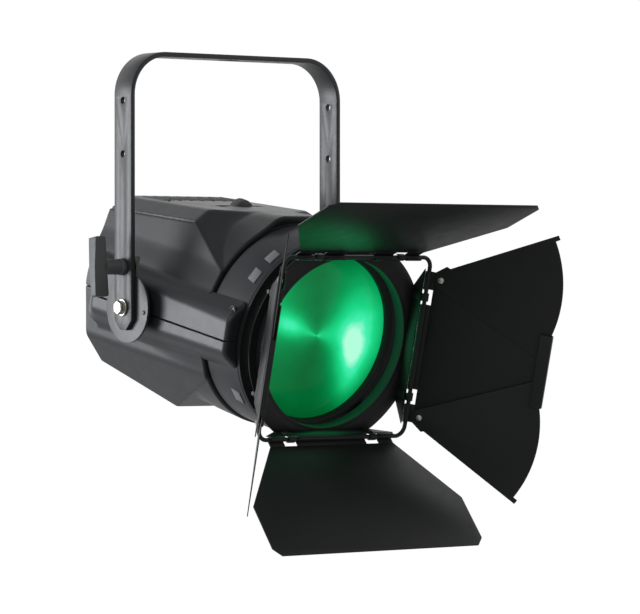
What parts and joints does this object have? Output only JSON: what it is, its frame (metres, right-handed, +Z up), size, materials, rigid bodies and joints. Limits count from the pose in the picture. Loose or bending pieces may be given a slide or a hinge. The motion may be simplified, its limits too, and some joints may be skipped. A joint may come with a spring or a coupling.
{
  "type": "theatre spotlight",
  "caption": "LED Fresnel theatre spotlight hung from a steel yoke, with a tilting head, a zoom carriage and a rotating barndoor whose side doors carry fan leaves.",
  "frame": {"origin": "the clamp point: the middle of the clamp slot in the outer face of the yoke's top bar", "axes": "+Z up, -Y the way the beam points before the head tilts down, X along the tilt axis"},
  "size_m": [0.367, 0.4831, 0.5088],
  "materials": {
    "housing": "cast aluminium under a satin charcoal powder coat",
    "black_steel": "matte black powder coat",
    "yoke_steel": "satin dark grey powder coat",
    "bright_steel": "zinc plated",
    "knob_plastic": "moulded, fine texture",
    "socket_plastic": "moulded black",
    "lens_glass": "pressed glass, lit green from behind",
    "bare_aluminium": "mill finish",
    "circuit_board": "solder resist"
  },
  "bodies": {
    "yoke": {"yoke_bracket": "yoke_steel", "lock_shoe": "bright_steel"},
    "head": {"upper_shell": "housing", "lower_shell": "housing", "front_sleeve": "housing", "rear_panel": "housing", "lens_cell": "black_steel", "lens_ring": "black_steel", "accessory_holder": "black_steel", "tilt_disc_left": "yoke_steel", "tilt_disc_right": "yoke_steel", "pivot_washer_left": "bright_steel", "pivot_washer_right": "bright_steel", "pivot_bolt_left": "bright_steel", "pivot_bolt_right": "bright_steel", "safety_eye": "bright_steel", "guide_rod_left": "bright_steel", "guide_rod_right": "bright_steel", "power_inlet": "socket_plastic", "power_outlet": "socket_plastic", "data_in": "socket_plastic", "data_out": "socket_plastic", "lens": "lens_glass", "display": "lens_glass", "front_bulkhead": "bare_aluminium", "middle_bulkhead": "bare_aluminium", "rod_bridge": "bare_aluminium", "power_supply": "bare_aluminium", "control_board": "circuit_board"},
    "tilt_knob": {"tilt_lock_knob": "knob_plastic"},
    "latch": {"accessory_latch": "black_steel"},
    "zoom_ring": {"zoom_drum": "black_steel", "zoom_knob": "knob_plastic"},
    "carriage": {"lamp_carriage": "bare_aluminium", "led_module": "circuit_board", "collimator_lens": "lens_glass", "heat_sink": "bare_aluminium", "fan_frame": "socket_plastic"},
    "fan": {"fan_rotor": "knob_plastic"},
    "key_1": {"menu_key_1": "knob_plastic"},
    "key_2": {"menu_key_2": "knob_plastic"},
    "key_3": {"menu_key_3": "knob_plastic"},
    "key_4": {"menu_key_4": "knob_plastic"},
    "barndoor": {"barndoor_ring": "black_steel", "barndoor_wire": "black_steel"},
    "top_flap": {"top_door": "black_steel"},
    "bottom_flap": {"bottom_door": "black_steel"},
    "left_flap": {"left_door": "black_steel", "left_upper_rivet": "bright_steel", "left_lower_rivet": "bright_steel"},
    "right_flap": {"right_door": "black_steel", "right_upper_rivet": "bright_steel", "right_lower_rivet": "bright_steel"},
    "left_upper_fan": {"left_upper_leaf": "black_steel"},
    "left_lower_fan": {"left_lower_leaf": "black_steel"},
    "right_upper_fan": {"right_upper_leaf": "black_steel"},
    "right_lower_fan": {"right_lower_leaf": "black_steel"}
  },
  "joints": [
    {"name": "head_tilt", "type": "hinge", "parent": "yoke", "child": "head", "pos_m": [0, 0, -0.265], "axis": [1, 0, 0], "range_deg": [-57, 76]},
    {"name": "tilt_lock", "type": "hinge", "parent": "yoke", "child": "tilt_knob", "pos_m": [-0.15, 0, -0.223], "axis": [-1, 0, 0], "range_deg": [0, 270]},
    {"name": "zoom_turn", "type": "hinge", "parent": "head", "child": "zoom_ring", "pos_m": [0, -0.0018, -0.25772], "axis": [0, -0.9707, -0.2402], "range_deg": [-10, 10]},
    {"name": "lamp_travel", "type": "slide", "parent": "head", "child": "carriage", "axis": [0, -0.9707, -0.2402], "range_m": [-0.0255, 0.0255]},
    {"name": "fan_spin", "type": "hinge", "parent": "carriage", "child": "fan", "pos_m": [0, 0.02732, -0.25051], "axis": [0, -0.9707, -0.2402], "continuous": true},
    {"name": "key_1_press", "type": "slide", "parent": "head", "child": "key_1", "axis": [0, -0.9707, -0.2402], "range_m": [0, 0.0015], "stiffness_N_per_m": 400, "springref_m": -0.001},
    {"name": "key_2_press", "type": "slide", "parent": "head", "child": "key_2", "axis": [0, -0.9707, -0.2402], "range_m": [0, 0.0015], "stiffness_N_per_m": 400, "springref_m": -0.001},
    {"name": "key_3_press", "type": "slide", "parent": "head", "child": "key_3", "axis": [0, -0.9707, -0.2402], "range_m": [0, 0.0015], "stiffness_N_per_m": 400, "springref_m": -0.001},
    {"name": "key_4_press", "type": "slide", "parent": "head", "child": "key_4", "axis": [0, -0.9707, -0.2402], "range_m": [0, 0.0015], "stiffness_N_per_m": 400, "springref_m": -0.001},
    {"name": "latch_lift", "type": "hinge", "parent": "head", "child": "latch", "pos_m": [0, -0.18779, -0.19301], "axis": [-1, 0, 0], "range_deg": [0, 35], "stiffness_Nm_per_rad": 0.05, "springref_deg": -20.05},
    {"name": "barndoor_turn", "type": "hinge", "parent": "head", "child": "barndoor", "pos_m": [0, -0.18624, -0.30336], "axis": [0, -0.9707, -0.2402], "continuous": true},
    {"name": "top_door_swing", "type": "hinge", "parent": "barndoor", "child": "top_flap", "pos_m": [0, -0.21838, -0.21345], "axis": [-1, 0, 0], "range_deg": [-52.5, 60.5]},
    {"name": "bottom_door_swing", "type": "hinge", "parent": "barndoor", "child": "bottom_flap", "pos_m": [0, -0.17274, -0.39789], "axis": [1, 0, 0], "range_deg": [-56, 57]},
    {"name": "left_door_swing", "type": "hinge", "parent": "barndoor", "child": "left_flap", "pos_m": [-0.095, -0.19556, -0.30567], "axis": [0, 0.2402, -0.9707], "range_deg": [-78, 57]},
    {"name": "right_door_swing", "type": "hinge", "parent": "barndoor", "child": "right_flap", "pos_m": [0.095, -0.19556, -0.30567], "axis": [0, -0.2402, 0.9707], "range_deg": [-78, 57]},
    {"name": "left_upper_leaf_fold", "type": "hinge", "parent": "left_flap", "child": "left_upper_fan", "pos_m": [-0.10331, -0.22342, -0.23736], "axis": [-0.788, 0.5976, 0.1479], "range_deg": [-40, 0]},
    {"name": "left_lower_leaf_fold", "type": "hinge", "parent": "left_flap", "child": "left_lower_fan", "pos_m": [-0.10331, -0.18835, -0.37909], "axis": [0.788, -0.5976, -0.1479], "range_deg": [-40, 0]},
    {"name": "right_upper_leaf_fold", "type": "hinge", "parent": "right_flap", "child": "right_upper_fan", "pos_m": [0.10331, -0.22342, -0.23736], "axis": [-0.788, -0.5976, -0.1479], "range_deg": [-40, 0]},
    {"name": "right_lower_leaf_fold", "type": "hinge", "parent": "right_flap", "child": "right_lower_fan", "pos_m": [0.10331, -0.18835, -0.37909], "axis": [0.788, 0.5976, 0.1479], "range_deg": [-40, 0]}
  ],
  "couplings": [
    {"joint": "lamp_travel", "follows": "zoom_turn", "m_per_rad": 0.143}
  ]
}
